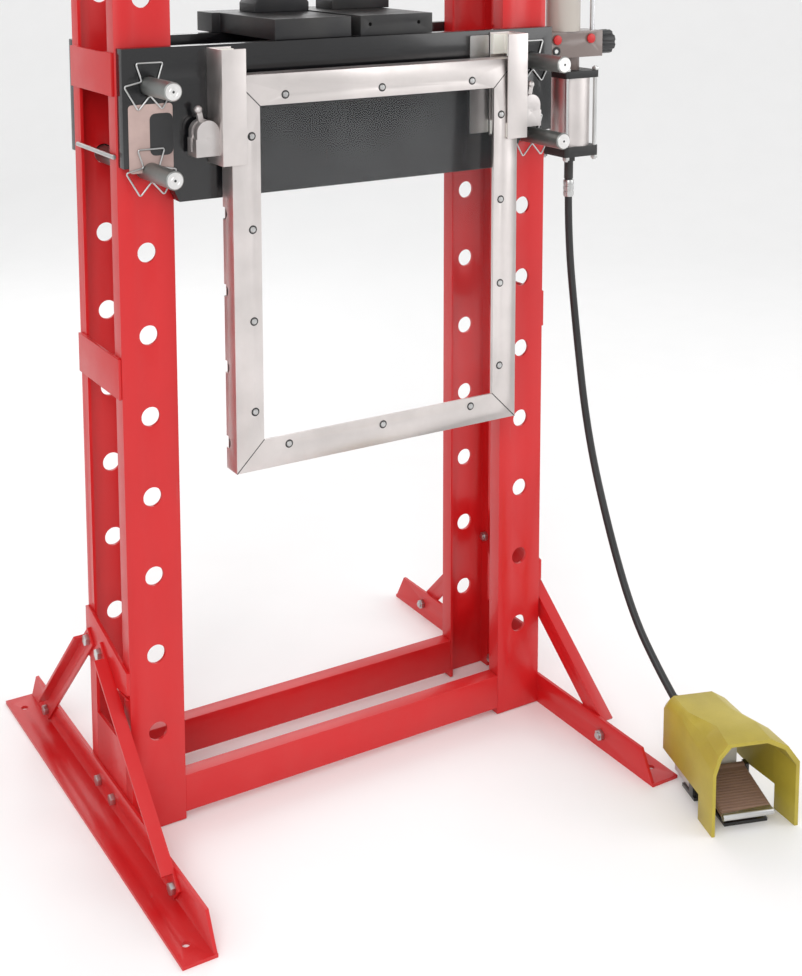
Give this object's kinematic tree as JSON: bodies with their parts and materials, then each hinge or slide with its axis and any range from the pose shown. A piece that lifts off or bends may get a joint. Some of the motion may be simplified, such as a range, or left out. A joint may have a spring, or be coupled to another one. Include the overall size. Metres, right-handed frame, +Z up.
{
  "type": "hydraulic shop press",
  "caption": "Floor-standing H-frame shop press with pinned bolster, sliding window guard, air-hydraulic pump, arbor plates, V-blocks and foot pedal on a hose.",
  "frame": {"origin": "on the floor, under the middle of the whole machine without its hose", "axes": "+Z up, front (guard and pedal) towards -Y, pump on the +X side"},
  "size_m": [1.122, 1.1072, 2.045],
  "materials": {
    "red_paint": "gloss enamel",
    "black_paint": "gloss enamel",
    "zinc_steel": "zinc plated",
    "dark_steel": "ground, oiled",
    "chromed_rod": "hard chrome",
    "black_steel": "black oxide",
    "cast_body": "machined cast iron",
    "aluminium": "anodised",
    "nylon": "natural nylon",
    "clear_panel": "clear polycarbonate",
    "valve_bronze": "grey-brown coating",
    "red_plastic": "gloss",
    "black_plastic": "moulded",
    "reservoir": "satin",
    "hose_rubber": "smooth cover",
    "yellow_cast": "textured powder coat",
    "spring_steel": "oiled"
  },
  "bodies": {
    "press_frame": {"post_left_front": "red_paint", "post_left_rear": "red_paint", "post_right_front": "red_paint", "post_right_rear": "red_paint", "lower_rails": "red_paint", "feet": "red_paint", "side_plates": "red_paint", "foot_braces": "red_paint", "frame_bolts": "zinc_steel", "head_beams": "red_paint", "cylinder_carriage": "red_paint", "cylinder_body": "black_paint", "cylinder_gland": "dark_steel", "cylinder_ring_nut": "dark_steel", "return_spring": "spring_steel", "gauge_case": "black_paint", "bolster_plates": "black_paint", "bolster_cross_plates": "black_paint", "guard_sleeves": "aluminium", "guard_guides": "nylon", "latch_blocks": "aluminium", "pump_reservoir": "reservoir", "pump_valve_block": "valve_bronze", "pump_plugs": "red_plastic", "air_cylinder_plates": "valve_bronze", "air_cylinder_tube": "aluminium", "air_cylinder_tie_rods": "zinc_steel", "pressure_line": "zinc_steel", "pedal_hood": "yellow_cast", "pedal_base": "black_steel", "pedal_valve": "aluminium", "treadle_spring": "spring_steel", "hose": "hose_rubber", "hose_fittings": "black_steel"},
    "ram": {"piston": "dark_steel", "ram_rod": "chromed_rod", "ram_nose": "dark_steel"},
    "guard": {"guard_frame": "aluminium", "guard_panel": "clear_panel", "guard_screws": "zinc_steel"},
    "latch_left": {"latch_lever_left": "aluminium"},
    "latch_right": {"latch_lever_right": "aluminium"},
    "plunger_left": {"latch_plunger_left": "zinc_steel"},
    "plunger_right": {"latch_plunger_right": "zinc_steel"},
    "locking_pin_left_upper": {"pin_left_upper": "dark_steel", "clip_left_upper": "zinc_steel"},
    "locking_pin_left_lower": {"pin_left_lower": "dark_steel", "clip_left_lower": "zinc_steel"},
    "locking_pin_right_upper": {"pin_right_upper": "dark_steel", "clip_right_upper": "zinc_steel"},
    "locking_pin_right_lower": {"pin_right_lower": "dark_steel", "clip_right_lower": "zinc_steel"},
    "release_valve": {"release_knob": "black_plastic"},
    "needle": {"gauge_needle": "black_plastic"},
    "motor_piston": {"air_piston": "dark_steel"},
    "foot_treadle": {"treadle": "black_plastic"},
    "tooling_left": {"arbor_plate_left": "black_steel", "v_block_left": "black_steel"},
    "tooling_right": {"arbor_plate_right": "black_steel", "v_block_right": "black_steel"}
  },
  "joints": [
    {"name": "ram_slide", "type": "slide", "parent": "press_frame", "child": "ram", "axis": [0, 0, -1], "range_m": [0, 0.17], "stiffness_N_per_m": 1500, "springref_m": -0.15, "deforming": ["return_spring"]},
    {"name": "guard_slide", "type": "slide", "parent": "press_frame", "child": "guard", "axis": [0, 0, 1], "range_m": [0, 0.532]},
    {"name": "latch_lever_left_turn", "type": "hinge", "parent": "press_frame", "child": "latch_left", "pos_m": [-0.368, -0.0444, 1.229], "axis": [0, -1, 0], "range_deg": [0, 60]},
    {"name": "latch_plunger_left_slide", "type": "slide", "parent": "press_frame", "child": "plunger_left", "axis": [1, 0, 0], "range_m": [0, 0.0061]},
    {"name": "latch_lever_right_turn", "type": "hinge", "parent": "press_frame", "child": "latch_right", "pos_m": [0.291, -0.0444, 1.229], "axis": [0, 1, 0], "range_deg": [0, 60]},
    {"name": "latch_plunger_right_slide", "type": "slide", "parent": "press_frame", "child": "plunger_right", "axis": [-1, 0, 0], "range_m": [0, 0.0061]},
    {"name": "locking_pin_left_upper_slide", "type": "slide", "parent": "press_frame", "child": "locking_pin_left_upper", "axis": [0, -1, 0], "range_m": [0, 0.28]},
    {"name": "locking_pin_left_lower_slide", "type": "slide", "parent": "press_frame", "child": "locking_pin_left_lower", "axis": [0, -1, 0], "range_m": [0, 0.28]},
    {"name": "locking_pin_right_upper_slide", "type": "slide", "parent": "press_frame", "child": "locking_pin_right_upper", "axis": [0, -1, 0], "range_m": [0, 0.28]},
    {"name": "locking_pin_right_lower_slide", "type": "slide", "parent": "press_frame", "child": "locking_pin_right_lower", "axis": [0, -1, 0], "range_m": [0, 0.28]},
    {"name": "release_valve_turn", "type": "hinge", "parent": "press_frame", "child": "release_valve", "pos_m": [0.539, 0.0461, 1.3385], "axis": [1, 0, 0], "range_deg": [0, 270]},
    {"name": "needle_turn", "type": "hinge", "parent": "press_frame", "child": "needle", "pos_m": [0.139, -0.0299, 1.94], "axis": [0, 1, 0], "range_deg": [0, 270], "stiffness_Nm_per_rad": 0.002, "springref_deg": -11.46},
    {"name": "motor_piston_slide", "type": "slide", "parent": "press_frame", "child": "motor_piston", "axis": [0, 0, 1], "range_m": [0, 0.045], "stiffness_N_per_m": 500, "springref_m": -0.02},
    {"name": "treadle_press", "type": "hinge", "parent": "press_frame", "child": "foot_treadle", "pos_m": [0.46741, -0.41054, 0.048], "axis": [0.9516, -0.3074, 0], "range_deg": [0, 8], "stiffness_Nm_per_rad": 8, "springref_deg": -17.19, "deforming": ["treadle_spring"]},
    {"name": "tooling_left_slide", "type": "slide", "parent": "press_frame", "child": "tooling_left", "axis": [-1, 0, 0], "range_m": [0, 0.1]},
    {"name": "tooling_right_slide", "type": "slide", "parent": "press_frame", "child": "tooling_right", "axis": [1, 0, 0], "range_m": [0, 0.1]}
  ],
  "couplings": [
    {"joint": "latch_plunger_left_slide", "follows": "latch_lever_left_turn", "m_per_rad": 0.00578},
    {"joint": "latch_plunger_right_slide", "follows": "latch_lever_right_turn", "m_per_rad": 0.00578}
  ]
}
